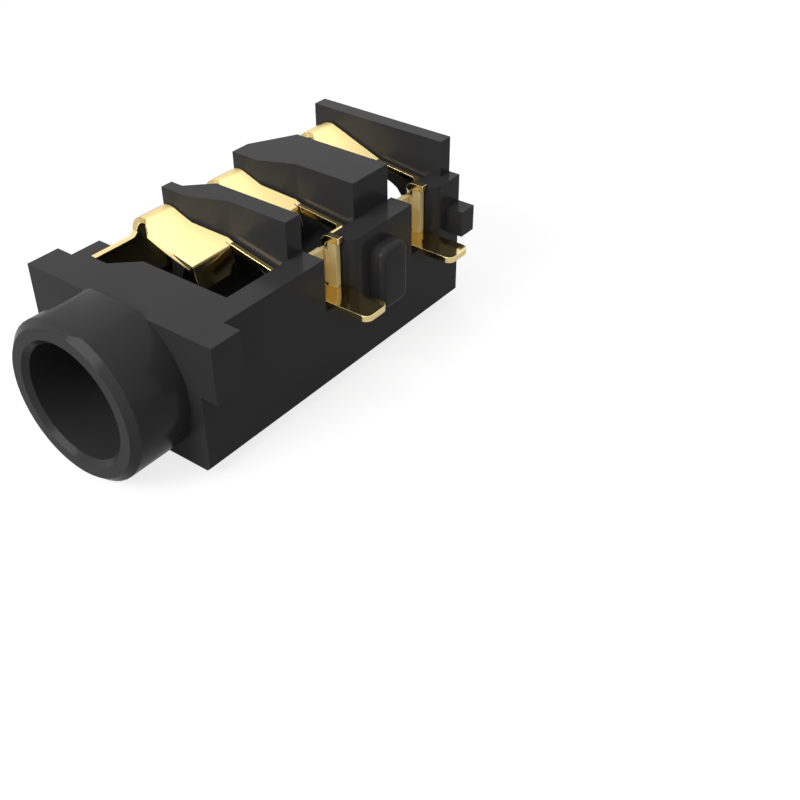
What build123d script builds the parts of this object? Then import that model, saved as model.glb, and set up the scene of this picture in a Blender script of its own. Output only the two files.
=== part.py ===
from build123d import *
import os

# Audio jack socket for a 3.5 mm three-pole plug, in millimetres: one black
# moulding, three folded spring contacts and two switch terminals.
#
# Frame: the plug goes in along +Y. The mouth opens toward -Y and lies in the
# plane Y = 0, with the bore axis at X = 0, Z = 0. +Z is the open side with the
# springs, -Z the closed side that sinks through a cut-out in the board.

# Plug and bore
PLUG_R = 1.75
BORE_R = PLUG_R + 0.05
BORE_LEAD = 0.16
CHANNEL_HALF_W = BORE_R + 0.05
CHANNEL_CORNER = 1.2
TIP_HOLE_R = 1.55
TIP_HOLE_FLAT = 1.47
TIP_HOLE_FLAT_ANGLE = 38

# Barrel
BARREL_R = 2.52
BARREL_LEN = 2.0
BARREL_BEVEL = 0.21
BARREL_FLAT_Z = 2.38

# Body block
BODY_HALF_W = 3.0
BODY_HALF_H = 2.2
BODY_Y0 = BARREL_LEN
EDGE_BREAK = 0.12

# Underside of the ears, the pegs and every foot: the surface of the board
BOARD_Z = 0.40
EAR_HALF_W = 3.6
EAR_LEN = 1.1
PEG_LEN = 0.67
PEG_H = 0.88

# Where the three spring contacts stand: the rear edge of each fold
SLEEVE_Y = 6.0
RING_SHIFT = 3.02
TIP_SHIFT = 7.45
RING_Y = SLEEVE_Y + RING_SHIFT
TIP_Y = SLEEVE_Y + TIP_SHIFT

# Sheet metal of the contacts and terminals
SHEET = 0.20
BEND_R = 0.20
SHARP_BEND_R = 0.13
SIDE_PLAY = 0.03

# Spring contacts: root plate and fold
PLATE_W = 2.62
PLATE_FOOT_H = 0.35
PLATE_LOW_Z = 2.20
PLATE_RISE_W = 0.20
FOLD_W = 1.0
FOLD_R = 0.50
FOLD_Z = 2.32
HINGE_GAP = 0.03

# Spring contacts: arm, its front edge measured forward from the fold's rear edge
ARM_SLOPE = 0.375
ARM_WIDEN_X0 = -1.87
ARM_WIDEN_X1 = -1.40
ARM_W = 1.38
TAB_W0 = 1.28
ARM_SKEW_X0 = -1.05
ARM_SKEW_X1 = -0.05
ARM_SKEW = 0.45

# Spring contacts: tab and tongue
TAB_BEND_X = 0.15
TAB_LEAN = 0.21
TAB_END_Z = 1.37
TAB_CORNER = 0.30
TONGUE_W = 0.16
TONGUE_SLIT = 0.04
TONGUE_LEN = 1.85
SLEEVE_TONGUE_SLOPE = 0.22
SWITCH_TONGUE_SLOPE = 0.11
SLEEVE_TONGUE_Y = SLEEVE_Y + ARM_SKEW
RING_TONGUE_Y = RING_Y + ARM_SKEW
TIP_TONGUE_Y = TIP_Y

# Solder feet, their middles measured forward from the fold's rear edge
FOOT_END_X = 4.35
FOOT_CORNER = 0.25
FOOT_W = 1.24
TERMINAL_FOOT_W = 1.02
FOOT_MID_Z = BOARD_Z + SHEET / 2
SLEEVE_FOOT_BACK = 1.10
RING_FOOT_BACK = 1.17
TIP_FOOT_BACK = 1.36
SLEEVE_FOOT_Y = SLEEVE_Y - SLEEVE_FOOT_BACK
RING_FOOT_Y = RING_Y - RING_FOOT_BACK
TIP_FOOT_Y = TIP_Y - TIP_FOOT_BACK

# Trough between the side walls
TROUGH_X0 = -2.5
TROUGH_X1 = 2.2
TROUGH_STEP = 0.70
TROUGH_STEP_X0 = -1.8
TROUGH_STEP_X1 = -1.05
TROUGH_Y0 = SLEEVE_Y - PLATE_W - SIDE_PLAY
REAR_PLAY = 0.08
REAR_WALL = 0.52
TROUGH_Y1 = TIP_Y + REAR_PLAY
BODY_Y1 = TROUGH_Y1 + REAR_WALL
LEFT_WALL_Z = 1.45
LEFT_WALL_FRONT = 0.78
LEFT_WALL_REAR = 1.15
LEFT_WALL_Y0 = TROUGH_Y0 + LEFT_WALL_FRONT
LEFT_WALL_Y1 = BODY_Y1 - LEFT_WALL_REAR
CHANNEL_Y0 = TROUGH_Y0 + TROUGH_STEP
PLATE_X = TROUGH_X0 + SHEET / 2

# Ribs between the springs: each front follows the contact before it
RIB_Z = 3.4
RIB_HALF_W = 2.2
RIB_PLAY = 0.05
RIB_SKEW_PLAY = 0.10
RIB_SKEW_X0 = -1.15
RIB_SKEW_X1 = 0.0
SLEEVE_RIB_LEFT = 0.42
SLEEVE_RIB_RIGHT = 0.63
SLEEVE_RIB_X0 = -1.75
SLEEVE_RIB_X1 = -1.05
RING_RIB_LEFT = 0.70
RING_RIB_RIGHT = 1.69
RING_RIB_X1 = -1.42
REAR_RIB_HALF_W = 2.6

# How far a cut runs on past the face that it opens
CUT_PAST = 1.0
OPEN_Z = RIB_Z + CUT_PAST

# Boss on the right side, midway between the two foot recesses
BOSS_OUT = 0.50
BOSS_LEN = 1.28
BOSS_Z0 = -0.52
BOSS_Z1 = 1.62
BOSS_CORNER = 0.36
BOSS_EDGE = 0.20
RECESS_CORNER = 0.30

# Switch terminals, lengths along the body measured from the foot's middle
WALL_PLAY = 0.07
WALL_X = CHANNEL_HALF_W + WALL_PLAY + SHEET / 2
WALL_Z = 1.80
WALL_W = 0.75
FLAG_BACK = 0.50
FLAG_STEP_X = TROUGH_X1
FLAG_STEP_Z = 1.76
FLAG_W = 0.36
FLAG_Z = 2.05
FLAG_BASE_H = 0.50
REST_GAP = 0.03
PAD_OVER = 0.10
PAD_SIDE = 0.03
PAD_RISE_W = 0.20


def block(x0, x1, y0, y1, z0, z1):
    middle = Pos((x0 + x1) / 2, (y0 + y1) / 2, (z0 + z1) / 2)
    return middle * Box(x1 - x0, y1 - y0, z1 - z0)


def from_above(points, z0, z1):
    # outline drawn as X and Y, solid between two heights
    outline = make_face(Polyline(*[(x, y, z0) for x, y in points], close=True))
    return extrude(outline, amount=z1 - z0, dir=(0, 0, 1))


def from_side(points, x0, x1):
    # outline drawn as Y and Z, solid between two X positions
    outline = make_face(Polyline(*[(x0, y, z) for y, z in points], close=True))
    return extrude(outline, amount=x1 - x0, dir=(1, 0, 0))


def turned(points):
    # outline drawn as radius and Y, turned once round the bore axis
    outline = make_face(Polyline(*points, close=True))
    return revolve(outline, Axis.Y, 360)


def bent_strip(points, y0, y1, radius=BEND_R):
    # sheet bent along a middle line drawn as X and Z, cut off at two Y positions
    path = FilletPolyline(*points, radius=radius)
    section = Plane.XZ * trace(path, line_width=SHEET)
    return Pos(0, y1, 0) * extrude(section, amount=y1 - y0)


def bent_tab(points, x0, x1, radius=BEND_R):
    # the same with the middle line drawn as Y and Z, cut off at two X positions
    path = FilletPolyline(*points, radius=radius)
    section = Plane.YZ * trace(path, line_width=SHEET)
    return Pos(x0, 0, 0) * extrude(section, amount=x1 - x0)


# Housing: barrel
barrel = turned(
    [
        (0, 0),
        (BARREL_R - BARREL_BEVEL, 0),
        (BARREL_R, BARREL_BEVEL),
        (BARREL_R, BODY_Y0),
        (0, BODY_Y0),
    ]
)
barrel -= block(-BARREL_R, BARREL_R, -CUT_PAST, BODY_Y0, BARREL_FLAT_Z, OPEN_Z)

# Housing: block with ears, pegs and boss
body = block(-BODY_HALF_W, BODY_HALF_W, BODY_Y0, BODY_Y1, -BODY_HALF_H, BODY_HALF_H)
body = chamfer(body.edges().filter_by(Axis.Y).group_by(Axis.Z)[0], EDGE_BREAK)
ears = block(-EAR_HALF_W, EAR_HALF_W, BODY_Y0, BODY_Y0 + EAR_LEN, BOARD_Z, BODY_HALF_H)
pegs = block(-EAR_HALF_W, EAR_HALF_W, BODY_Y1 - PEG_LEN, BODY_Y1, BOARD_Z, BOARD_Z + PEG_H)
BOSS_Y = (RING_FOOT_Y + TIP_FOOT_Y) / 2
boss = block(
    TROUGH_X1,
    BODY_HALF_W + BOSS_OUT,
    BOSS_Y - BOSS_LEN / 2,
    BOSS_Y + BOSS_LEN / 2,
    BOSS_Z0,
    BOSS_Z1,
)
boss = fillet(boss.edges().filter_by(Axis.X), BOSS_CORNER)
boss = fillet(boss.edges().group_by(Axis.X)[-1], BOSS_EDGE)
housing = body + barrel + ears + pegs + boss

# Housing: trough, low left wall and foot recesses, all open toward +Z
trough = from_above(
    [
        (TROUGH_X0, TROUGH_Y0),
        (TROUGH_STEP_X0, TROUGH_Y0),
        (TROUGH_STEP_X1, TROUGH_Y0 + TROUGH_STEP),
        (TROUGH_X1, TROUGH_Y0 + TROUGH_STEP),
        (TROUGH_X1, TROUGH_Y1),
        (TROUGH_X0, TROUGH_Y1),
    ],
    BOARD_Z,
    OPEN_Z,
)
housing -= trough
housing -= block(
    -EAR_HALF_W, TROUGH_X0, LEFT_WALL_Y0, LEFT_WALL_Y1, LEFT_WALL_Z, OPEN_Z
)
RECESS_HALF = FOOT_W / 2 + SIDE_PLAY
right_recess = block(TROUGH_X1, FOOT_END_X, -RECESS_HALF, RECESS_HALF, BOARD_Z, OPEN_Z)
left_recess = block(-FOOT_END_X, TROUGH_X0, -RECESS_HALF, RECESS_HALF, BOARD_Z, OPEN_Z)
for foot_y in (RING_FOOT_Y, TIP_FOOT_Y):
    housing -= Pos(0, foot_y, 0) * right_recess
for foot_y in (SLEEVE_FOOT_Y, RING_FOOT_Y, TIP_FOOT_Y):
    housing -= Pos(0, foot_y, 0) * left_recess

# Housing: rounded outer corner behind each right recess
for foot_y in (RING_FOOT_Y, TIP_FOOT_Y):
    recess_rear = foot_y + RECESS_HALF
    on_side = housing.edges().filter_by(Axis.Z).filter_by_position(
        Axis.X, BODY_HALF_W - SIDE_PLAY, BODY_HALF_W + SIDE_PLAY
    )
    corner = on_side.filter_by_position(
        Axis.Y, recess_rear - SIDE_PLAY, recess_rear + SIDE_PLAY
    )
    housing = fillet(corner, RECESS_CORNER)

# Housing: ribs across the trough
housing += from_above(
    [
        (-RIB_HALF_W, SLEEVE_Y + RIB_PLAY),
        (RIB_SKEW_X0, SLEEVE_Y + RIB_PLAY),
        (RIB_SKEW_X1, SLEEVE_TONGUE_Y + RIB_SKEW_PLAY),
        (RIB_HALF_W, SLEEVE_TONGUE_Y + RIB_SKEW_PLAY),
        (RIB_HALF_W, SLEEVE_TONGUE_Y + RIB_SKEW_PLAY + SLEEVE_RIB_RIGHT),
        (SLEEVE_RIB_X1, SLEEVE_TONGUE_Y + RIB_SKEW_PLAY + SLEEVE_RIB_RIGHT),
        (SLEEVE_RIB_X0, SLEEVE_Y + RIB_PLAY + SLEEVE_RIB_LEFT),
        (-RIB_HALF_W, SLEEVE_Y + RIB_PLAY + SLEEVE_RIB_LEFT),
    ],
    BOARD_Z,
    RIB_Z,
)
housing += from_above(
    [
        (-RIB_HALF_W, RING_Y + RIB_PLAY),
        (RIB_SKEW_X0, RING_Y + RIB_PLAY),
        (RIB_SKEW_X1, RING_TONGUE_Y + RIB_SKEW_PLAY),
        (RIB_HALF_W, RING_TONGUE_Y + RIB_SKEW_PLAY),
        (RIB_HALF_W, RING_TONGUE_Y + RIB_SKEW_PLAY + RING_RIB_RIGHT),
        (RING_RIB_X1, RING_TONGUE_Y + RIB_SKEW_PLAY + RING_RIB_RIGHT),
        (-RIB_HALF_W, RING_Y + RIB_PLAY + RING_RIB_LEFT),
    ],
    BOARD_Z,
    RIB_Z,
)
housing += block(-REAR_RIB_HALF_W, REAR_RIB_HALF_W, TROUGH_Y1, BODY_Y1, BOARD_Z, RIB_Z)

# Housing: bore that guides the plug
housing -= turned(
    [
        (0, -CUT_PAST),
        (BORE_R + BORE_LEAD, -CUT_PAST),
        (BORE_R + BORE_LEAD, 0),
        (BORE_R, BORE_LEAD),
        (BORE_R, CHANNEL_Y0),
        (0, CHANNEL_Y0),
    ]
)

# Housing: behind the bore, a flat-bottomed channel below the trough, and a round
# arch of the same width through the ribs
channel = block(
    -CHANNEL_HALF_W, CHANNEL_HALF_W, CHANNEL_Y0, TROUGH_Y1, -CHANNEL_HALF_W, BOARD_Z
)
channel = fillet(channel.edges().filter_by(Axis.Y).group_by(Axis.Z)[0], CHANNEL_CORNER)
housing -= channel
housing -= turned(
    [
        (0, CHANNEL_Y0),
        (CHANNEL_HALF_W, CHANNEL_Y0),
        (CHANNEL_HALF_W, TROUGH_Y1),
        (0, TROUGH_Y1),
    ]
)

# Housing: hole in the rear wall
tip_hole_y0 = TROUGH_Y1 - CUT_PAST
tip_hole_y1 = BODY_Y1 + CUT_PAST
tip_hole = turned(
    [(0, tip_hole_y0), (TIP_HOLE_R, tip_hole_y0), (TIP_HOLE_R, tip_hole_y1), (0, tip_hole_y1)]
)
tip_hole -= Rot(0, -TIP_HOLE_FLAT_ANGLE, 0) * block(
    TIP_HOLE_FLAT,
    TIP_HOLE_R + CUT_PAST,
    tip_hole_y0 - CUT_PAST,
    tip_hole_y1 + CUT_PAST,
    -TIP_HOLE_R,
    TIP_HOLE_R,
)
housing -= tip_hole


def contact_root(fold_rear, foot_y):
    # upright plate against the left wall, with its foot turned outward
    front = fold_rear - PLATE_W
    fold_front = fold_rear - FOLD_W
    bottom = FOOT_MID_Z + PLATE_FOOT_H - SHEET / 2
    top = FOLD_Z - HINGE_GAP / 2
    plate = from_side(
        [
            (front, bottom),
            (fold_rear, bottom),
            (fold_rear, top),
            (fold_front, top),
            (fold_front - PLATE_RISE_W / 2, (top + 2 * PLATE_LOW_Z) / 3),
            (fold_front - PLATE_RISE_W, PLATE_LOW_Z),
            (front, PLATE_LOW_Z),
        ],
        TROUGH_X0,
        TROUGH_X0 + SHEET,
    )
    foot = bent_strip(
        [(-FOOT_END_X, FOOT_MID_Z), (PLATE_X, FOOT_MID_Z), (PLATE_X, bottom + SHEET)],
        foot_y - FOOT_W / 2,
        foot_y + FOOT_W / 2,
    )
    foot = fillet(foot.edges().filter_by(Axis.Z).group_by(Axis.X)[0], FOOT_CORNER)
    return plate + foot


# Height where the middle lines of plate and arm would meet, and the arm's fall
FOLD_SPAN = FOLD_R * ((1 + ARM_SLOPE**2) ** 0.5 + ARM_SLOPE)
CORNER_Z = FOLD_Z + FOLD_SPAN


def arm_mid_z(x):
    return CORNER_Z - ARM_SLOPE * (x - PLATE_X)


def contact_arm(fold_rear, tongue_rear, tongue_slope, flag_y=None):
    # fold, arm and contact tab, then the narrow tongue beside the tab
    fold_front = fold_rear - FOLD_W
    tab_front = fold_rear - TAB_W0
    tongue_front = tongue_rear - TONGUE_W
    tab_rear = tongue_front - TONGUE_SLIT
    slit_x = TAB_BEND_X - SHEET / 2
    y0 = fold_rear - PLATE_W
    y1 = tongue_rear + SHEET
    tab_end_x = TAB_BEND_X + TAB_LEAN
    half_way = (ARM_SKEW_X0 + ARM_SKEW_X1) / 2
    tab_line = [
        (half_way - SHEET, arm_mid_z(half_way - SHEET)),
        (TAB_BEND_X, arm_mid_z(TAB_BEND_X)),
        (tab_end_x, TAB_END_Z),
    ]
    fold_line = [
        (PLATE_X, FOLD_Z - SHEET),
        (PLATE_X, CORNER_Z),
        (half_way + SHEET, arm_mid_z(half_way + SHEET)),
    ]
    fold = bent_strip(fold_line, y0, y1, FOLD_R)
    below_fold = FOLD_Z + HINGE_GAP / 2
    fold -= block(TROUGH_X0 - SHEET, PLATE_X + SHEET, y0, y1, 0, below_fold)
    fold &= from_above(
        [
            (TROUGH_X0 - SHEET, fold_front),
            (ARM_WIDEN_X0, fold_front),
            (ARM_WIDEN_X1, fold_rear - ARM_W),
            (half_way, fold_rear - ARM_W),
            (half_way, (fold_rear + tongue_rear) / 2),
            (ARM_SKEW_X0, fold_rear),
            (TROUGH_X0 - SHEET, fold_rear),
        ],
        0,
        OPEN_Z,
    )
    tab = bent_strip(tab_line, y0, y1, SHARP_BEND_R)
    tab &= from_above(
        [
            (half_way, fold_rear - ARM_W),
            (TAB_BEND_X, tab_front),
            (tab_end_x + SHEET, tab_front),
            (tab_end_x + SHEET, tab_rear),
            (slit_x, tab_rear),
            (slit_x, tongue_rear),
            (ARM_SKEW_X1, tongue_rear),
            (half_way, (fold_rear + tongue_rear) / 2),
        ],
        0,
        OPEN_Z,
    )
    tab_end = tab.edges().filter_by(Axis.Y, reverse=True).group_by(Axis.Z)[0]
    arm = fold + fillet(tab_end, TAB_CORNER)
    line = [
        (ARM_SKEW_X1 - SHEET, arm_mid_z(ARM_SKEW_X1 - SHEET)),
        (TAB_BEND_X, arm_mid_z(TAB_BEND_X)),
    ]
    end_x = TAB_BEND_X + TONGUE_LEN
    line.append((end_x, arm_mid_z(TAB_BEND_X) - tongue_slope * TONGUE_LEN))
    if flag_y is None:
        return arm + bent_strip(line, tongue_front, tongue_rear, SHARP_BEND_R)
    # the end steps up and forward, and rests over the terminal's flag
    pad_z = FLAG_Z + REST_GAP + SHEET / 2
    pad_x = FLAG_STEP_X + FLAG_W + PAD_OVER
    pad_front = flag_y - SHEET / 2 - PAD_SIDE
    pad_rear = flag_y + SHEET / 2 + PAD_SIDE / 2
    line += [(end_x + PAD_RISE_W, pad_z), (pad_x, pad_z)]
    tongue = bent_strip(line, pad_front - SHEET, y1, SHARP_BEND_R)
    neck_x = end_x - SHEET / 2
    stop_x = TROUGH_X1 - PAD_SIDE
    tongue &= from_above(
        [
            (line[0][0], tongue_front),
            (neck_x - SHEET, tongue_front),
            (neck_x, tongue_front - SHEET),
            (neck_x, pad_front + SHEET),
            (neck_x + SHEET, pad_front),
            (pad_x, pad_front),
            (pad_x, pad_rear),
            (stop_x, pad_rear),
            (stop_x, tongue_front - SHEET),
            (end_x, tongue_front),
            (end_x, tongue_rear),
            (line[0][0], tongue_rear),
        ],
        0,
        OPEN_Z,
    )
    return arm + tongue


def switch_terminal(foot_y):
    # foot, wall beside the bore and flag behind it with a stepped top
    foot_rear = foot_y + FOOT_W / 2
    foot_front = foot_rear - TERMINAL_FOOT_W
    foot = block(
        WALL_X + SHEET, FOOT_END_X, foot_front, foot_rear, BOARD_Z, BOARD_Z + SHEET
    )
    foot = fillet(foot.edges().filter_by(Axis.Z).group_by(Axis.X)[-1], FOOT_CORNER)
    wall = bent_strip(
        [(WALL_X + 2 * SHEET, FOOT_MID_Z), (WALL_X, FOOT_MID_Z), (WALL_X, WALL_Z)],
        foot_front,
        foot_front + WALL_W,
    )
    flag_y = foot_y + FLAG_BACK
    flag_z = BOARD_Z + FLAG_BASE_H
    flag_base = bent_tab(
        [
            (flag_y - 2 * SHEET, FOOT_MID_Z),
            (flag_y, FOOT_MID_Z),
            (flag_y, flag_z),
        ],
        FLAG_STEP_X,
        FLAG_STEP_X + FLAG_W,
    )
    y0 = flag_y - SHEET / 2
    y1 = flag_y + SHEET / 2
    flag = block(FLAG_STEP_X, FLAG_STEP_X + FLAG_W, y0, y1, flag_z, FLAG_Z)
    flag += block(WALL_X - SHEET / 2, FLAG_STEP_X, y0, y1, flag_z, FLAG_STEP_Z)
    return foot + wall + flag_base + flag


parts = {
    "housing": housing,
    "sleeve_contact_root": contact_root(SLEEVE_Y, SLEEVE_FOOT_Y),
    "sleeve_contact_arm": contact_arm(SLEEVE_Y, SLEEVE_TONGUE_Y, SLEEVE_TONGUE_SLOPE),
    "ring_contact_root": contact_root(RING_Y, RING_FOOT_Y),
    "ring_contact_arm": contact_arm(
        RING_Y, RING_TONGUE_Y, SWITCH_TONGUE_SLOPE, RING_FOOT_Y + FLAG_BACK
    ),
    "tip_contact_root": contact_root(TIP_Y, TIP_FOOT_Y),
    "tip_contact_arm": contact_arm(
        TIP_Y, TIP_TONGUE_Y, SWITCH_TONGUE_SLOPE, TIP_FOOT_Y + FLAG_BACK
    ),
    "ring_switch_terminal": switch_terminal(RING_FOOT_Y),
    "tip_switch_terminal": switch_terminal(TIP_FOOT_Y),
}

os.makedirs("parts", exist_ok=True)
for name, solid in parts.items():
    export_step(solid, f"parts/{name}.step")
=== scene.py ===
# %% [markdown]
# # A 3.5 mm audio socket
# The real part is about as long as a fingernail. It is one black moulding with
# a round mouth, three gold-plated springs folded from thin strip, and two small
# switch terminals on its right side. A plug that goes in lifts the three springs.
#
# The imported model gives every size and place. This lesson dresses it: edges that
# catch the light, sheet metal with a true fold, and finishes made from nodes.
#
# Sizes are in millimetres: X to the right of the bore's axis, Y in from the mouth,
# and Z up. Blender works in metres, so each is multiplied by MM on its way there.

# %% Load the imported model
import math
import bmesh
import bpy
import numpy as np
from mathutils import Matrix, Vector


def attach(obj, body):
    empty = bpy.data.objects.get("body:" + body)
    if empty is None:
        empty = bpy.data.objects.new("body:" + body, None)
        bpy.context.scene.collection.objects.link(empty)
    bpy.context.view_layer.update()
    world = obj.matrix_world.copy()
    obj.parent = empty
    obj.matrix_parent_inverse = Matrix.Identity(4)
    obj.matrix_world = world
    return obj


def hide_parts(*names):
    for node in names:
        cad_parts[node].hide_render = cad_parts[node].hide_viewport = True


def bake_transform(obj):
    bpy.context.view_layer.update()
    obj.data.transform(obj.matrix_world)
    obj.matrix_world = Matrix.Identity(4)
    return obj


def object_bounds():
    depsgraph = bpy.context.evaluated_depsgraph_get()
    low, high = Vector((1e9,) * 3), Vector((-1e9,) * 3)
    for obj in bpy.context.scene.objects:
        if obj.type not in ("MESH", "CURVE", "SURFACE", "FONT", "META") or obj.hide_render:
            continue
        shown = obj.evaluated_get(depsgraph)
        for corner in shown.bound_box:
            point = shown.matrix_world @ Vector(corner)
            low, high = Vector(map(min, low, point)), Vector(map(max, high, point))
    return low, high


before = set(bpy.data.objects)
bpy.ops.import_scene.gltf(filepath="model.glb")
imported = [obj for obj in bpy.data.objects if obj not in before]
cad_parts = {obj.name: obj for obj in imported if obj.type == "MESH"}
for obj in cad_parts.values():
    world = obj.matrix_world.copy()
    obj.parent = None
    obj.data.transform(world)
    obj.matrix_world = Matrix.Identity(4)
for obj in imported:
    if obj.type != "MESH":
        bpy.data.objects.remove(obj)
cad_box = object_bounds()
MM = 0.001
print("pieces in the packed model:", ", ".join(sorted(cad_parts)))

# %% [markdown]
# ## Where the camera stands
# A product picture of something this small is taken from close by, so the lines
# of the body lean together. A camera could be moved by eye until the picture
# looks right. Here its place was worked out from the straight edges and circles
# of the body, because then every edge falls where it should. The lens follows
# from how large the part is in the picture.

# %% Camera
CAMERA_PLACE = (21.654, -14.176, 18.499)
CAMERA_AIM = (-0.4776, 0.6402, -0.6017)
PICTURE_WIDTH = 800
FOCAL_PIXELS = 1136.5
SENSOR_WIDTH = 36.0
NEAREST = 1 * MM
FARTHEST = 2000 * MM

camera_data = bpy.data.cameras.new("camera")
camera_data.sensor_width = SENSOR_WIDTH
camera_data.lens = FOCAL_PIXELS * SENSOR_WIDTH / PICTURE_WIDTH
camera_data.clip_start = NEAREST
camera_data.clip_end = FARTHEST
camera = bpy.data.objects.new("camera", camera_data)
camera.location = Vector(CAMERA_PLACE) * MM
camera.rotation_euler = Vector(CAMERA_AIM).to_track_quat("-Z", "Y").to_euler()
bpy.context.scene.collection.objects.link(camera)
bpy.context.scene.camera = camera
print(f"lens {camera_data.lens:.1f} mm, {camera.location.length / MM:.1f} mm from the mouth")

# %% [markdown]
# ## A small kit for materials
# A finish is a few shader nodes in a row. They could be drawn by hand in the
# Shader Editor. In a script a few helpers keep each recipe short. The first ones
# start a material, add a node with its sockets filled in, join two sockets, and
# spread a factor from 0 to 1 over the range that a socket needs.

# %% Material helpers
def new_finish(name):
    """A new material, its tree of nodes and its main shader."""
    finish = bpy.data.materials.new(name)
    finish.use_nodes = True
    tree = finish.node_tree
    return finish, tree, tree.nodes["Principled BSDF"]


def add_node(tree, kind, **values):
    """A node of that kind; each value goes to the property or the socket of that name."""
    node = tree.nodes.new(kind)
    for name, value in values.items():
        if hasattr(node, name):
            setattr(node, name, value)
        else:
            node.inputs[name.replace("_", " ").title()].default_value = value
    return node


def join(tree, output, socket):
    """A link from one node's output to another node's socket."""
    tree.links.new(output, socket)


def spread(tree, factor, low, high, socket):
    """A factor from 0 to 1, sent to a socket as a value from low to high."""
    scale = add_node(tree, "ShaderNodeMapRange", to_min=low, to_max=high)
    join(tree, factor, scale.inputs["Value"])
    join(tree, scale.outputs["Result"], socket)


# %% [markdown]
# ## Patterns and relief
# Neither finish of this part is quite even, and both need the same two things: a
# soft random pattern, and a surface that the pattern raises a little. A picture
# could give the pattern. Noise nodes need none, and they stay sharp however near
# the camera comes.

# %% Pattern helpers
def noise(tree, where, scale, detail=2.0):
    """A soft random pattern of values from 0 to 1 over the given coordinates."""
    pattern = add_node(tree, "ShaderNodeTexNoise", scale=scale, detail=detail)
    join(tree, where, pattern.inputs["Vector"])
    return pattern.outputs["Fac"]


def relief(tree, height, depth, strength, under=None):
    """The surface that a height raises, on top of the relief that lies under it."""
    bump = add_node(tree, "ShaderNodeBump", strength=strength, distance=depth)
    join(tree, height, bump.inputs["Height"])
    if under is not None:
        join(tree, under, bump.inputs["Normal"])
    return bump.outputs["Normal"]


# %% [markdown]
# ## Black moulded plastic
# The body is a glass-filled nylon, moulded in a polished tool. From a step away
# it is an even black with a sheen. Close by it isn't perfectly flat: the skin has
# faint waves from shrinking, and a very fine grain where fibres lie near it.
#
# One even black would do from afar. Here the waves and the grain go into the
# relief, and the waves vary the roughness too, so that reflections of the gold
# are clear in one place and softer in the next.

# %% Black plastic
PLASTIC_COLOUR = (0.038, 0.038, 0.039, 1)
PLASTIC_IOR = 1.45
PLASTIC_SHINE = 0.10
PLASTIC_ROUGHNESS = (0.16, 0.26)
PLASTIC_RELIEF = 0.10
WAVE_SIZE = 1.6 * MM
WAVE_DEPTH = 0.01 * MM
GRAIN_SIZE = 0.035 * MM
GRAIN_DEPTH = 0.0015 * MM
GRAIN_DETAIL = 3.0

plastic, tree, skin = new_finish("black_plastic")
skin.inputs["Base Color"].default_value = PLASTIC_COLOUR
skin.inputs["IOR"].default_value = PLASTIC_IOR
skin.inputs["Specular IOR Level"].default_value = PLASTIC_SHINE
on_body = add_node(tree, "ShaderNodeTexCoord").outputs["Object"]
waves = noise(tree, on_body, 1 / WAVE_SIZE)
grain = noise(tree, on_body, 1 / GRAIN_SIZE, GRAIN_DETAIL)
spread(tree, waves, *PLASTIC_ROUGHNESS, skin.inputs["Roughness"])
wavy = relief(tree, waves, WAVE_DEPTH, PLASTIC_RELIEF)
grainy = relief(tree, grain, GRAIN_DEPTH, PLASTIC_RELIEF, under=wavy)
join(tree, grainy, skin.inputs["Normal"])
print("black plastic:", len(tree.nodes), "nodes")

# %% [markdown]
# ## Where the gold is satin
# The plating is a mirror on most of the strip. On the springs' arms it is satin,
# and on the upright parts of the terminals it is nearly matte and looks cream.
#
# Each of these could be a material of its own on a few chosen faces. Here they
# are zones of one finish, because a zone can fade out softly in the middle of a
# face. The zones are set out on the flat strip's own map: U is the distance along
# the strip from the end of the foot, and V is the place across it. Both are in
# millimetres. On a spring V counts from the mouth of the socket, and on a
# terminal from the middle of its foot. So a terminal's zones miss the springs,
# and the arms' zone starts farther along than a terminal is long.

# %% Gold zones
ARM_START, ARM_START_FADE = 4.32, 0.12
ARM_END, ARM_END_FADE = 6.66, 0.02
FLAG_ALONG = (1.75, 2.45)
FLAG_ACROSS = (0.40, 2.60)
WALL_FROM = 2.25
WALL_REAR = 0.40


def worked_out(tree, operation, *terms, use_clamp=False):
    """The answer of a Math node; each term is a number or another node's output."""
    node = add_node(tree, "ShaderNodeMath", operation=operation, use_clamp=use_clamp)
    for socket, term in zip(node.inputs, terms):
        if isinstance(term, bpy.types.NodeSocket):
            join(tree, term, socket)
        else:
            socket.default_value = term
    return node.outputs["Value"]


def fade(tree, distance, zero_at, one_at):
    """A factor that goes from 0 at one place to 1 at the other."""
    ramp = add_node(tree, "ShaderNodeMapRange", from_min=zero_at, from_max=one_at)
    join(tree, distance, ramp.inputs["Value"])
    return ramp.outputs["Result"]


def within(tree, distance, low, high):
    """A factor that is 1 from low to high, and 0 elsewhere."""
    return worked_out(tree, "COMPARE", distance, (low + high) / 2, (high - low) / 2)


def satin_zones(tree, strip_map):
    """Two factors: on the arm of a spring, and on an upright part of a terminal."""
    parts = add_node(tree, "ShaderNodeSeparateXYZ")
    join(tree, strip_map, parts.inputs["Vector"])
    along, across = parts.outputs["X"], parts.outputs["Y"]
    past_fold = fade(tree, along, ARM_START - ARM_START_FADE, ARM_START + ARM_START_FADE)
    before_tab = fade(tree, along, ARM_END + ARM_END_FADE, ARM_END - ARM_END_FADE)
    arm = worked_out(tree, "MULTIPLY", past_fold, before_tab)
    flag_along = within(tree, along, *FLAG_ALONG)
    flag_across = within(tree, across, *FLAG_ACROSS)
    flag = worked_out(tree, "MULTIPLY", flag_across, flag_along)
    past_foot = worked_out(tree, "GREATER_THAN", along, WALL_FROM)
    before_flag = worked_out(tree, "LESS_THAN", across, WALL_REAR)
    wall = worked_out(tree, "MULTIPLY", past_foot, before_flag)
    return arm, worked_out(tree, "MAXIMUM", flag, wall)


print(f"a spring's arm is satin from {ARM_START} to {ARM_END} mm along its strip")

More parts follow.
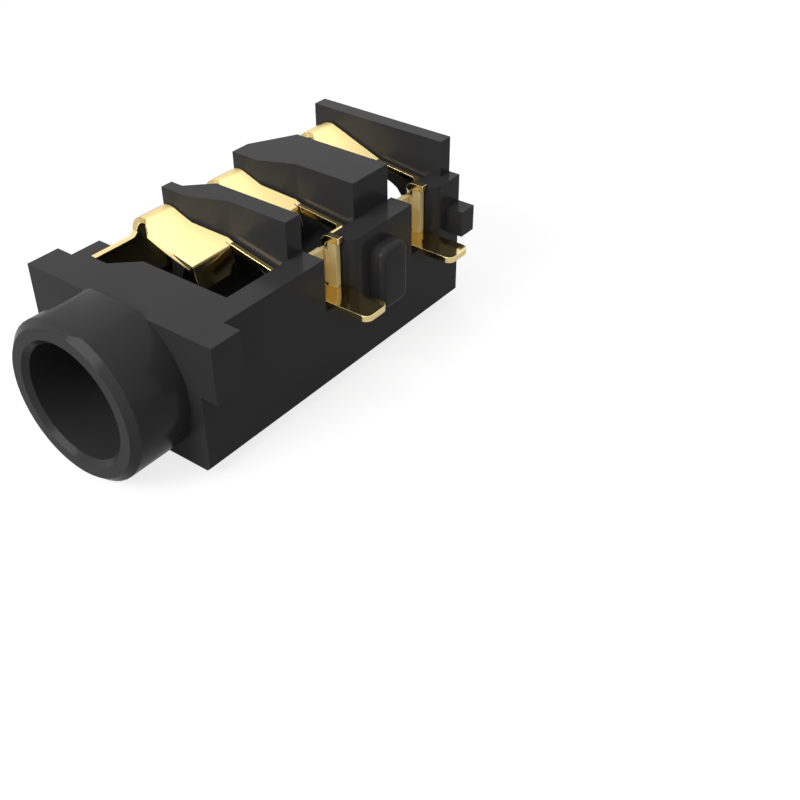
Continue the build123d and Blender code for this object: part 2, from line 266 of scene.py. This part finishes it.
# %% [markdown]
# ## Gold-plated spring bronze
# The strip is rolled before it is stamped, and rolling leaves hair-fine lines
# along it. The plating is too thin to hide them. So the relief is a noise that is
# stretched along the strip. It is placed by the strip's map and not by the
# object's axes, and so the lines run round each fold as they really do. They also
# smear a reflection to the sides: an anisotropic shine, a quarter turn from them.
# Wide clouds of a slightly deeper gold stand for plating that isn't even.

# %% Gold plating
GOLD_COLOUR = (1.0, 0.81, 0.40, 1)
DEEPER_GOLD = (0.97, 0.77, 0.36, 1)
MIRROR_TO_SATIN = (0.07, 0.48)
METAL_TO_MATTE = (1.0, 0.15)
SMEAR = 0.9
QUARTER_TURN = 0.25
CLOUD_SIZE = 0.8
LINE_LENGTH, LINE_WIDTH = 1.5, 0.02
LINE_DEPTH = 0.002 * MM
LINE_RELIEF = 0.12
FACTOR, COLOUR_A, COLOUR_B, COLOUR_OUT = 0, 6, 7, 2  # the Mix node's sockets for colours

gold, tree, skin = new_finish("gold_plated_bronze")
skin.inputs["Anisotropic"].default_value = SMEAR
skin.inputs["Anisotropic Rotation"].default_value = QUARTER_TURN
along_strip = add_node(tree, "ShaderNodeTangent", direction_type="UV_MAP", uv_map="strip")
join(tree, along_strip.outputs["Tangent"], skin.inputs["Tangent"])
strip_map = add_node(tree, "ShaderNodeUVMap", uv_map="strip").outputs["UV"]

tone = add_node(tree, "ShaderNodeMix", data_type="RGBA")
tone.inputs[COLOUR_A].default_value = GOLD_COLOUR
tone.inputs[COLOUR_B].default_value = DEEPER_GOLD
join(tree, noise(tree, strip_map, 1 / CLOUD_SIZE), tone.inputs[FACTOR])
join(tree, tone.outputs[COLOUR_OUT], skin.inputs["Base Color"])

arm, upright = satin_zones(tree, strip_map)
satin = worked_out(tree, "MAXIMUM", arm, upright)
spread(tree, satin, *MIRROR_TO_SATIN, skin.inputs["Roughness"])
spread(tree, upright, *METAL_TO_MATTE, skin.inputs["Metallic"])

stretch = add_node(tree, "ShaderNodeMapping", scale=(1 / LINE_LENGTH, 1 / LINE_WIDTH, 1))
join(tree, strip_map, stretch.inputs["Vector"])
lines = noise(tree, stretch.outputs["Vector"], 1.0)
join(tree, relief(tree, lines, LINE_DEPTH, LINE_RELIEF), skin.inputs["Normal"])
print("gold plating:", len(tree.nodes), "nodes")

# %% [markdown]
# ## Finishing an edge
# Nothing real has a perfectly sharp edge. A moulded corner is rounded by a few
# hundredths of a millimetre, and that thin band is what catches the light. A
# shader could fake it, but then the exported mesh would still be sharp. The Bevel
# modifier cuts it on every edge that turns by more than a set angle.
#
# Clamp Overlap keeps bevels from running into each other, by making all of a
# piece's bevels as narrow as its two closest edges allow. The body needs that. On
# sheet metal a row of a fold can end very near a corner, which would leave no
# bevel anywhere, so there it is off.

# %% Edge helper
SHARP = math.radians(30)
EDGE_STEPS = 2


def finish_piece(name, mesh, material, edge):
    """A piece with rounded edges: its modifiers are applied, so its mesh is final."""
    rough = bpy.data.objects.new(name + "_rough", mesh)
    bpy.context.scene.collection.objects.link(rough)
    bevel = rough.modifiers.new("edges", "BEVEL")
    bevel.width = edge
    bevel.segments = EDGE_STEPS
    bevel.limit_method = "ANGLE"
    bevel.angle_limit = SHARP
    bevel.miter_outer = "MITER_ARC"
    bevel.harden_normals = True
    bevel.use_clamp_overlap = material is plastic
    bpy.context.view_layer.update()
    ready = rough.evaluated_get(bpy.context.evaluated_depsgraph_get())
    final = bpy.data.meshes.new_from_object(ready)
    final.name = name
    bpy.data.objects.remove(rough)
    final.materials.clear()
    final.materials.append(material)
    piece = bpy.data.objects.new(name, final)
    bpy.context.scene.collection.objects.link(piece)
    print(f"{name}: {len(final.polygons)} faces")
    return piece


print(f"edges that turn by more than {math.degrees(SHARP):.0f} degrees get a bevel")

# %% [markdown]
# ## The moulded body
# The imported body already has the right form, and it must not be changed. So this
# piece is a copy of its mesh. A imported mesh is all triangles, and their shared
# corners are split, which would stop the bevel. The copy is welded first, then
# triangles that lie in one plane are merged back into whole faces.

# %% Body
BODY_EDGE = 0.035 * MM
WELD = 0.0005 * MM
FLAT = math.radians(0.6)


def whole_faces(node):
    """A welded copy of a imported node's mesh, with flat areas as single faces."""
    copy = bmesh.new()
    copy.from_mesh(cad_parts[node].data)
    bmesh.ops.remove_doubles(copy, verts=copy.verts, dist=WELD)
    bmesh.ops.dissolve_limit(
        copy, angle_limit=FLAT, verts=copy.verts, edges=copy.edges, delimit=set()
    )
    mesh = bpy.data.meshes.new(node + "_whole")
    copy.to_mesh(mesh)
    copy.free()
    if "custom_normal" in mesh.attributes:
        mesh.attributes.remove(mesh.attributes["custom_normal"])
    mesh.shade_smooth()
    mesh.set_sharp_from_angle(angle=SHARP)
    return mesh


body = finish_piece("body", whole_faces("housing"), plastic, BODY_EDGE)
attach(body, "socket")
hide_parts("housing")

# %% [markdown]
# ## Sheet metal: a flat blank, then folds
# Each spring and terminal starts as a flat shape punched out of strip, called a
# blank. Presses then fold it. In Blender a side view could be extruded instead,
# but then every slit, notch and slanting edge would have to be cut on the fold.
# The press's own order keeps them right by themselves:
#
# 1. draw the blank's outline, with one axis along the strip and one across it;
# 2. cut it into narrow rows wherever it will bend;
# 3. move every row to its place on the folded line;
# 4. thicken the sheet to 0.2 mm.
#
# The folded line is the middle of the sheet, seen edge on. It is given by its
# corners and the radius of each bend. A radius of 0 makes a crisp crease. A table
# of points along it answers the question the other way round: how far along the
# line is a certain height?

# %% The folded line
ROW_TURN = math.radians(7.5)
TABLE_POINTS = 4001


def unit(way):
    """The same direction, one millimetre long."""
    return way / np.linalg.norm(way)


class FoldLine:
    """The middle line of a folded sheet: straight runs joined by round bends."""

    def __init__(self, corners, radii):
        corners = [np.array(corner, float) for corner in corners]
        self.pieces = []
        self.bends = []
        self.length = 0.0
        start = corners[0]
        for before, corner, after, radius in zip(corners, corners[1:], corners[2:], radii):
            way_in, way_out = unit(corner - before), unit(after - corner)
            side = way_in[0] * way_out[1] - way_in[1] * way_out[0]
            turn = math.atan2(side, way_in @ way_out)
            tangent = radius * math.tan(abs(turn) / 2)
            bend_start = corner - way_in * tangent
            self.add("run", np.linalg.norm(bend_start - start), start, way_in)
            normal = np.array([-way_in[1], way_in[0]]) * math.copysign(1, turn)
            middle = bend_start + normal * radius
            arc = radius * abs(turn)
            self.bends.append((self.length, self.length + arc, abs(turn)))
            self.add("arc", arc, (middle, bend_start - middle), turn)
            start = corner + way_out * tangent
        self.add("run", np.linalg.norm(corners[-1] - start), start, way_out)
        self.steps = np.linspace(0, self.length, TABLE_POINTS)
        self.table = np.array([self.at(step) for step in self.steps])

    def add(self, kind, length, base, way):
        """One more run or arc at the end of the line."""
        end = self.length + float(length)
        self.pieces.append((kind, self.length, end, base, way))
        self.length = end

    def at(self, distance):
        """The point at a distance along the line."""
        for kind, start, end, base, way in self.pieces:
            if distance <= end:
                break
        if kind == "run":
            return base + way * (distance - start)
        middle, arm = base
        angle = way * (distance - start) / (end - start)
        cos, sin = math.cos(angle), math.sin(angle)
        return middle + np.array([cos * arm[0] - sin * arm[1], sin * arm[0] + cos * arm[1]])

    def reach(self, place, axis=0, first=0.0, last=math.inf):
        """The distance along the line, from first to last, where a coordinate has a value."""
        apart = np.abs(self.table[:, axis] - place)
        apart[(self.steps < first) | (self.steps > last)] = np.inf
        return float(self.steps[int(np.argmin(apart))])

    def rows(self):
        """Where the blank is cut so that each bend is made of narrow rows."""
        cuts = []
        for start, end, turn in self.bends:
            count = max(2, round(turn / ROW_TURN))
            cuts += [start + (end - start) * i / count for i in range(count + 1)]
        return cuts


sample = FoldLine([(0, 0), (1, 0), (1, 1)], [0.2])
print(f"1 mm out and 1 mm up, round a bend of 0.2 mm, takes {sample.length:.2f} mm of strip")

# %% [markdown]
# ## From an outline to a sheet
# A punched blank has rounded corners, which wear the punch less. The outline is
# one flat face. Cutting it right across, row by row, leaves faces that a fold can
# move. A cut that passes very near a corner goes through it instead, because a
# sliver between the two would spoil the bevel there.
#
# The flat shape is also the strip's map, so it is written down before the fold.
# The thickness could be extruded, but Solidify keeps it even round a bend.

# %% Sheet helpers
SHEET = 0.20
METAL_EDGE = 0.015 * MM
SNAP = 0.008


def rounded(corner, radius, from_way, to_way, steps=6):
    """Points of a quarter-round at a blank's corner, from one edge to the next."""
    corner, from_way, to_way = Vector(corner), Vector(from_way), Vector(to_way)
    middle = corner - radius * from_way + radius * to_way
    points = []
    for i in range(steps + 1):
        turned = math.pi / 2 * i / steps
        point = middle - radius * math.cos(turned) * to_way + radius * math.sin(turned) * from_way
        points.append(tuple(point))
    return points


def cut_rows(sheet, way, values):
    """Cuts right across a flat mesh, one at each value along the given way."""
    for value in values:
        bmesh.ops.bisect_plane(
            sheet,
            geom=sheet.verts[:] + sheet.edges[:] + sheet.faces[:],
            plane_co=(way[0] * value, way[1] * value, 0),
            plane_no=way,
            dist=SNAP,
        )


def thickened(name, mesh):
    """The same sheet with its thickness, half of it to each side."""
    flat = bpy.data.objects.new(name, mesh)
    bpy.context.scene.collection.objects.link(flat)
    solid = flat.modifiers.new("thickness", "SOLIDIFY")
    solid.thickness = SHEET * MM
    solid.offset = 0
    solid.use_even_offset = True
    bpy.context.view_layer.update()
    ready = flat.evaluated_get(bpy.context.evaluated_depsgraph_get())
    thick = bpy.data.meshes.new_from_object(ready)
    bpy.data.objects.remove(flat)
    thick.shade_smooth()
    thick.set_sharp_from_angle(angle=SHARP)
    return thick


def folded_sheet(name, outline, rows_along, rows_across, fold):
    """A blank that is cut into rows, mapped, folded by fold(along, across) and thickened."""
    sheet = bmesh.new()
    sheet.faces.new([sheet.verts.new((along, across, 0)) for along, across in outline])
    cut_rows(sheet, (1, 0, 0), rows_along)
    cut_rows(sheet, (0, 1, 0), rows_across)
    strip_map = sheet.loops.layers.uv.new("strip")
    for face in sheet.faces:
        for loop in face.loops:
            loop[strip_map].uv = loop.vert.co.xy
    for vert in sheet.verts:
        x, y, z = fold(vert.co.x, vert.co.y)
        vert.co = (x * MM, y * MM, z * MM)
    mesh = bpy.data.meshes.new(name + "_blank")
    sheet.to_mesh(mesh)
    sheet.free()
    return thickened(name + "_blank", mesh)


# %% [markdown]
# ## The three springs, seen from the front
# A spring's strip starts at its solder foot and turns up into a plate that sits
# in the body. The plate folds over into an arm that slopes down, and the arm ends
# in a tab that touches the plug. The tab is bent down at a crisp corner. Beside
# the tab runs a narrow tongue. On two of the springs it ends in a pad that rests
# on a switch terminal until a plug lifts it.
#
# So one spring needs two folded lines. They are the same up to the tab.

# %% Lines of a spring
FOOT_END_X, FOOT_MID_Z = 4.35, 0.50
PLATE_X = -2.4
FOLD_Z = 2.32
ARM_SLOPE = 0.375
TAB_BEND_X, TAB_LEAN, TAB_END_Z = 0.15, 0.21, 1.37
TONGUE_LEN = 1.85
PAD_RISE_W, PAD_END_X, PAD_MID_Z = 0.20, 2.66, 2.18
BEND_R, FOLD_R, TAB_BEND_R, SHARP_BEND_R = 0.20, 0.50, 0.0, 0.13
FOLD_TOP_Z = FOLD_Z + FOLD_R * (math.sqrt(1 + ARM_SLOPE**2) + ARM_SLOPE)
TAB_TOP_Z = FOLD_TOP_Z - ARM_SLOPE * (TAB_BEND_X - PLATE_X)


def spring_lines(fall, pad_y):
    """The folded lines of a spring: foot to tab, and foot to the end of the tongue."""
    start = [
        (-FOOT_END_X, FOOT_MID_Z),
        (PLATE_X, FOOT_MID_Z),
        (PLATE_X, FOLD_TOP_Z),
        (TAB_BEND_X, TAB_TOP_Z),
    ]
    tab_end = (TAB_BEND_X + TAB_LEAN, TAB_END_Z)
    tab = FoldLine(start + [tab_end], [BEND_R, FOLD_R, TAB_BEND_R])
    tongue_end_x = TAB_BEND_X + TONGUE_LEN
    ends = [(tongue_end_x, TAB_TOP_Z - fall * TONGUE_LEN)]
    radii = [BEND_R, FOLD_R, SHARP_BEND_R]
    if pad_y is not None:
        ends += [(tongue_end_x + PAD_RISE_W, PAD_MID_Z), (PAD_END_X, PAD_MID_Z)]
        radii += [SHARP_BEND_R, SHARP_BEND_R]
    return tab, FoldLine(start + ends, radii)


print(f"the fold's lines would meet at {FOLD_TOP_Z:.2f} mm, the tab starts at {TAB_TOP_Z:.2f} mm")

# %% [markdown]
# ## The tongue's end
# Seen from above, a tongue with a pad turns twice. From its right end a neck runs
# forward, and from the neck's front end the pad sticks out to the right, over the
# terminal's flag. The three could be pieces joined together. As one outline they
# cost only a few corners, and the gold runs through without a seam.

# %% Outline of a tongue
PAD_FRONT, PAD_REAR = 0.13, 0.115
NECK_FRONT, NECK_RIGHT_X = 0.07, 2.17


def tongue_outline(line, front, rear, pad_y):
    """The tongue's edge from its front, round its end and back along its rear."""
    if pad_y is None:
        return [(line.length, front), (line.length, rear)]
    neck_x = TAB_BEND_X + TONGUE_LEN - SHEET / 2
    edge = [
        (neck_x - SHEET, front),
        (neck_x, front - SHEET),
        (neck_x, pad_y + NECK_FRONT),
        (neck_x + SHEET, pad_y - PAD_FRONT),
        (PAD_END_X, pad_y - PAD_FRONT),
        (PAD_END_X, pad_y + PAD_REAR),
        (NECK_RIGHT_X, pad_y + PAD_REAR),
        (NECK_RIGHT_X, front - SHEET),
        (neck_x + SHEET / 2, front),
        (neck_x + SHEET / 2, rear),
    ]
    past_tab = line.reach(TAB_BEND_X, first=line.bends[1][1])
    return [(line.reach(x, first=past_tab), y) for x, y in edge]


# %% [markdown]
# ## The blank of a spring
# Along the strip the outline is worked out from places on the folded spring: a
# height on the plate, or a place to the right on the arm. So a size is only ever
# given as it is on the finished part, and the flat length follows from the bends.
# On two springs the rear edge of the arm slants, because it follows the rib of
# the body behind it. The search on the plate may go a hair past the plate's end,
# because the table of a folded line has steps.

# %% Outline of a spring
FOOT_W, FOOT_CORNER = 1.24, 0.25
PLATE_W, PLATE_BOTTOM_Z, PLATE_LOW_Z = 2.62, 0.75, 2.20
SHOULDER_W, SHOULDER_RISE = 0.20, 0.035
FOLD_W = 1.0
ARM_W, ARM_WIDEN_X, ARM_SKEW_X = 1.38, (-1.87, -1.40), (-1.05, -0.05)
TAB_W, TAB_CORNER = 1.28, 0.30
TONGUE_W, TONGUE_SLIT = 0.16, 0.04
TABLE_SLACK = 0.01


def spring_blank(tab, tongue, rear, tongue_rear, foot_y, pad_y):
    """The blank's outline, and where the slit between tab and tongue starts and runs."""
    fold_start = tab.bends[1][0]

    def on_plate(z):
        return tab.reach(z, axis=1, last=fold_start + TABLE_SLACK)

    def on_arm(x):
        return tab.reach(x, first=fold_start)

    front, fold_front, arm_front = rear - PLATE_W, rear - FOLD_W, rear - ARM_W
    foot_front, foot_rear = foot_y - FOOT_W / 2, foot_y + FOOT_W / 2
    tongue_front = tongue_rear - TONGUE_W
    tab_front, tab_rear = rear - TAB_W, tongue_front - TONGUE_SLIT
    slit_start = on_arm(TAB_BEND_X - SHEET / 2)
    outline = rounded((0, foot_front), FOOT_CORNER, (0, -1), (1, 0))
    outline += [
        (on_plate(PLATE_BOTTOM_Z), foot_front),
        (on_plate(PLATE_BOTTOM_Z), front),
        (on_plate(PLATE_LOW_Z), front),
        (on_plate(PLATE_LOW_Z), fold_front - SHOULDER_W),
        (on_plate(PLATE_LOW_Z + SHOULDER_RISE), fold_front - SHOULDER_W / 2),
        (on_plate(FOLD_Z), fold_front),
        (on_arm(ARM_WIDEN_X[0]), fold_front),
        (on_arm(ARM_WIDEN_X[1]), arm_front),
        (on_arm(sum(ARM_SKEW_X) / 2), arm_front),
        (tab.bends[2][0], tab_front),
    ]
    outline += rounded((tab.length, tab_front), TAB_CORNER, (1, 0), (0, 1))
    outline += rounded((tab.length, tab_rear), TAB_CORNER, (0, 1), (-1, 0))
    outline += [(slit_start, tab_rear), (slit_start, tongue_front)]
    outline += tongue_outline(tongue, tongue_front, tongue_rear, pad_y)
    outline += [(on_arm(ARM_SKEW_X[1]), tongue_rear)]
    if tongue_rear > rear:
        outline += [(on_arm(ARM_SKEW_X[0]), rear)]
    outline += [(on_plate(PLATE_BOTTOM_Z), rear), (on_plate(PLATE_BOTTOM_Z), foot_rear)]
    outline += rounded((0, foot_rear), FOOT_CORNER, (-1, 0), (0, -1))
    return outline, slit_start, (tab_rear + tongue_front) / 2


# %% [markdown]
# ## Making the springs
# The three are alike. They differ in where they stand, and in their tongues:
# `rear` is the rear edge of the fold, `tongue_rear` that of the tongue, and
# `foot_y` the middle of the foot. `fall` is how far the tongue falls for each
# millimetre of its length, and `pad_y` is the middle of the flag under its pad.
#
# When a plug lifts the tab, the real strip bends and the foot stays. Two separate
# pieces would show a gap at the fold. So each spring is one unbroken piece.

# %% Springs
SPRINGS = {
    "sleeve": dict(rear=6.00, tongue_rear=6.45, foot_y=4.90, fall=0.22, pad_y=None),
    "ring": dict(rear=9.02, tongue_rear=9.47, foot_y=7.85, fall=0.11, pad_y=8.35),
    "tip": dict(rear=13.45, tongue_rear=13.45, foot_y=12.09, fall=0.11, pad_y=12.59),
}


def make_spring(name, rear, tongue_rear, foot_y, fall, pad_y):
    """One spring: its blank, its folds and its edges."""
    tab, tongue = spring_lines(fall, pad_y)
    outline, slit_start, slit_y = spring_blank(tab, tongue, rear, tongue_rear, foot_y, pad_y)
    print(name, "blank:", len(outline), "corners,", round(tab.length, 2), "mm long")

    def fold(along, across):
        on_tongue = (along > slit_start and across > slit_y) or along > tab.length
        x, z = (tongue if on_tongue else tab).at(along)
        return x, across, z

    rows = sorted(set(tab.rows() + tongue.rows()))
    mesh = folded_sheet(name + "_contact", outline, rows, [], fold)
    spring = finish_piece(name + "_contact", mesh, gold, METAL_EDGE)
    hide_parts(name + "_contact_root", name + "_contact_arm")
    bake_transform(spring)


for name, places in SPRINGS.items():
    make_spring(name, **places)

# %% [markdown]
# ## The two switch terminals
# A terminal is a smaller blank with two folds that turn different ways. Its wall
# turns up along the inner end of the foot, beside the bore. Its flag turns up at
# the rear, and the spring's pad rests on top of it. With a plug in, the pad
# lifts off, and that opens the switch.
#
# Each could be built from three small plates. Here it is folded from one outline,
# in the same way as a spring, so its corners and its gold are those of one sheet.
# A narrow slit lies beside the flag, because without it the sheet would tear. Each
# terminal's foot lies straight across from the foot of the spring that it serves.

# %% Lines of a terminal
WALL_X, WALL_TOP_Z = 2.02, 1.80
FLAG_Y, FLAG_TOP_Z = 0.50, 2.05
FLAG_RUN_IN = 1.0

wall_line = FoldLine(
    [(FOOT_END_X, FOOT_MID_Z), (WALL_X, FOOT_MID_Z), (WALL_X, WALL_TOP_Z)], [BEND_R]
)
flag_line = FoldLine(
    [(-FLAG_RUN_IN, FOOT_MID_Z), (FLAG_Y, FOOT_MID_Z), (FLAG_Y, FLAG_TOP_Z)], [SHARP_BEND_R]
)
flag_start = flag_line.bends[0][0] - FLAG_RUN_IN
print(f"wall line {wall_line.length:.2f} mm, the flag's bend starts at {flag_start:.2f} mm")

# %% Outline of a terminal
WALL_Y = (-0.40, 0.35)
FLAG_X, FLAG_STEP_X = (2.24, 2.56), 1.92
FLAG_BASE_Z, FLAG_STEP_Z = 0.63, 1.76
FLAG_SLIT = 0.04


def from_end(x):
    """How far in from the end of the foot a place lies: the blank's distance along."""
    return FOOT_END_X - x


def up_flag(z):
    """Where on the blank a height on the flag is: the blank's distance across."""
    return flag_line.reach(z, axis=1, first=flag_line.bends[0][1]) - FLAG_RUN_IN


def terminal_blank():
    """The outline of a flat terminal."""
    wall_start = wall_line.bends[0][0]
    slit_end = flag_start - FLAG_SLIT / 2
    outline = rounded((0, WALL_Y[0]), FOOT_CORNER, (0, -1), (1, 0))
    outline += [
        (wall_line.length, WALL_Y[0]),
        (wall_line.length, WALL_Y[1]),
        (wall_start, WALL_Y[1]),
        (from_end(FLAG_X[0]), slit_end),
        (from_end(FLAG_X[0]), up_flag(FLAG_BASE_Z)),
        (from_end(FLAG_STEP_X), up_flag(FLAG_BASE_Z)),
        (from_end(FLAG_STEP_X), up_flag(FLAG_STEP_Z)),
        (from_end(FLAG_X[0]), up_flag(FLAG_STEP_Z)),
        (from_end(FLAG_X[0]), up_flag(FLAG_TOP_Z)),
        (from_end(FLAG_X[1]), up_flag(FLAG_TOP_Z)),
        (from_end(FLAG_X[1]), slit_end),
        (from_end(FLAG_X[1] + FLAG_SLIT), slit_end),
        (from_end(FLAG_X[1] + FLAG_SLIT), FOOT_W / 2),
    ]
    outline += rounded((0, FOOT_W / 2), FOOT_CORNER, (-1, 0), (0, -1))
    return outline


# %% Terminals
def make_terminal(name, foot_y):
    """One terminal, with the middle of its foot at foot_y."""

    def fold(along, across):
        if across > flag_start and along > from_end(FLAG_X[1]) - FLAG_SLIT / 4:
            y, z = flag_line.at(across + FLAG_RUN_IN)
            return from_end(along), foot_y + y, z
        x, z = wall_line.at(along)
        return x, foot_y + across, z

    flag_rows = [row - FLAG_RUN_IN for row in flag_line.rows()]
    mesh = folded_sheet(
        name + "_terminal", terminal_blank(), wall_line.rows(), flag_rows, fold
    )
    terminal = finish_piece(name + "_terminal", mesh, gold, METAL_EDGE)
    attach(terminal, "socket")
    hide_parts(name + "_switch_terminal")


for name in ("ring", "tip"):
    make_terminal(name, SPRINGS[name]["foot_y"])

# %% [markdown]
# ## A pale floor
# The part stands on a plain pale floor. White paper in strong light would clip,
# and would throw too much light up at the black plastic. So the floor is a mid
# grey to the light, and a Light Path node adds a glow that only some rays see.
# Rays from the camera see it as clean white with a soft shadow on it. Mirrored
# rays see less of the glow, so the gold doesn't turn white near the floor.

# %% Floor
WHITE = (1, 1, 1, 1)
FLOOR_COLOUR = (0.3, 0.3, 0.3, 1)
FLOOR_SIZE = 400 * MM
CAMERA_GLOW = 0.80
MIRROR_GLOW = 0.35


def who_looks(tree):
    """Two factors: the ray comes from the camera, or was mirrored or bent on its way."""
    rays = add_node(tree, "ShaderNodeLightPath").outputs
    bounced = (rays["Is Glossy Ray"], rays["Is Transmission Ray"])
    return rays["Is Camera Ray"], worked_out(tree, "ADD", *bounced, use_clamp=True)


half, low = FLOOR_SIZE / 2, cad_box[0][2]
floor_mesh = bpy.data.meshes.new("floor")
floor_corners = [(-half, -half, low), (half, -half, low), (half, half, low), (-half, half, low)]
floor_mesh.from_pydata(floor_corners, [], [(0, 1, 2, 3)])
floor = bpy.data.objects.new("floor", floor_mesh)
bpy.context.scene.collection.objects.link(floor)

floor_finish, tree, skin = new_finish("floor")
skin.inputs["Base Color"].default_value = FLOOR_COLOUR
skin.inputs["Roughness"].default_value = 1.0
skin.inputs["Specular IOR Level"].default_value = 0.0
skin.inputs["Emission Color"].default_value = WHITE
from_camera, bounced = who_looks(tree)
mirrored_glow = worked_out(tree, "MULTIPLY", bounced, MIRROR_GLOW)
glow = worked_out(tree, "MULTIPLY_ADD", from_camera, CAMERA_GLOW, mirrored_glow)
join(tree, glow, skin.inputs["Emission Strength"])
floor_mesh.materials.append(floor_finish)
print(f"floor at {low / MM:.2f} mm")

# %% [markdown]
# ## The studio around it
# Behind the floor the picture is plain white, and that is also what the camera
# and any mirrored ray see of the world. Its light is another matter. A world of
# one even grey would light all faces of the body alike, and a picture of a studio
# would light them in its own way. Here the light simply grows with the steepness
# of the way it comes from, so the top and the sides part from each other.

# %% Background
SKY_EVEN = 0.30
SKY_EXTRA = 0.35

world = bpy.data.worlds.new("studio")
bpy.context.scene.world = world
world.use_nodes = True
tree = world.node_tree
sky = tree.nodes["Background"]
sky.inputs["Color"].default_value = WHITE
way = add_node(tree, "ShaderNodeSeparateXYZ")
join(tree, add_node(tree, "ShaderNodeTexCoord").outputs["Generated"], way.inputs["Vector"])
steepness = worked_out(tree, "MULTIPLY", way.outputs["Z"], way.outputs["Z"])
brightness = worked_out(tree, "MULTIPLY_ADD", steepness, SKY_EXTRA, SKY_EVEN)
join(tree, brightness, sky.inputs["Strength"])
white = add_node(tree, "ShaderNodeBackground", strength=1.0)
white.inputs["Color"].default_value = WHITE
sees_white = worked_out(tree, "ADD", *who_looks(tree), use_clamp=True)
choice = add_node(tree, "ShaderNodeMixShader")
join(tree, sees_white, choice.inputs[0])
join(tree, sky.outputs[0], choice.inputs[1])
join(tree, white.outputs[0], choice.inputs[2])
join(tree, choice.outputs[0], tree.nodes["World Output"].inputs["Surface"])
print("background:", len(tree.nodes), "nodes")

# %% [markdown]
# ## Two soft boxes
# The top light gives the upper faces their grey, and the one at the front draws
# the soft highlight on the arms. Bare bulbs would give tiny highlights and a hard
# shadow. A lamp that is large for its distance gives wide, soft ones.

# %% Lamps
LAMP_AIM = (0, 7, 1)
LAMPS = [
    ("top_light", (-12, -4, 80), (40, 40), 0.008),
    ("front_light", (-14, -66, 54), (60, 50), 0.060),
]


def soft_box(name, place, size, power):
    """A rectangular lamp that faces the part; place and size are in millimetres."""
    lamp = bpy.data.lights.new(name, "AREA")
    lamp.shape = "RECTANGLE"
    lamp.size, lamp.size_y = size[0] * MM, size[1] * MM
    lamp.energy = power
    holder = bpy.data.objects.new(name, lamp)
    holder.location = Vector(place) * MM
    to_part = Vector(LAMP_AIM) * MM - holder.location
    holder.rotation_euler = to_part.to_track_quat("-Z", "Y").to_euler()
    bpy.context.scene.collection.objects.link(holder)
    print(f"{name}: {to_part.length / MM:.0f} mm from the part")


for lamp in LAMPS:
    soft_box(*lamp)

# %% [markdown]
# ## Last settings
# Blender's usual view transform softens strong colours. Standard shows each one
# as it was set.

# %% Finish
scene = bpy.context.scene
scene.view_settings.view_transform = "Standard"
bpy.context.view_layer.update()
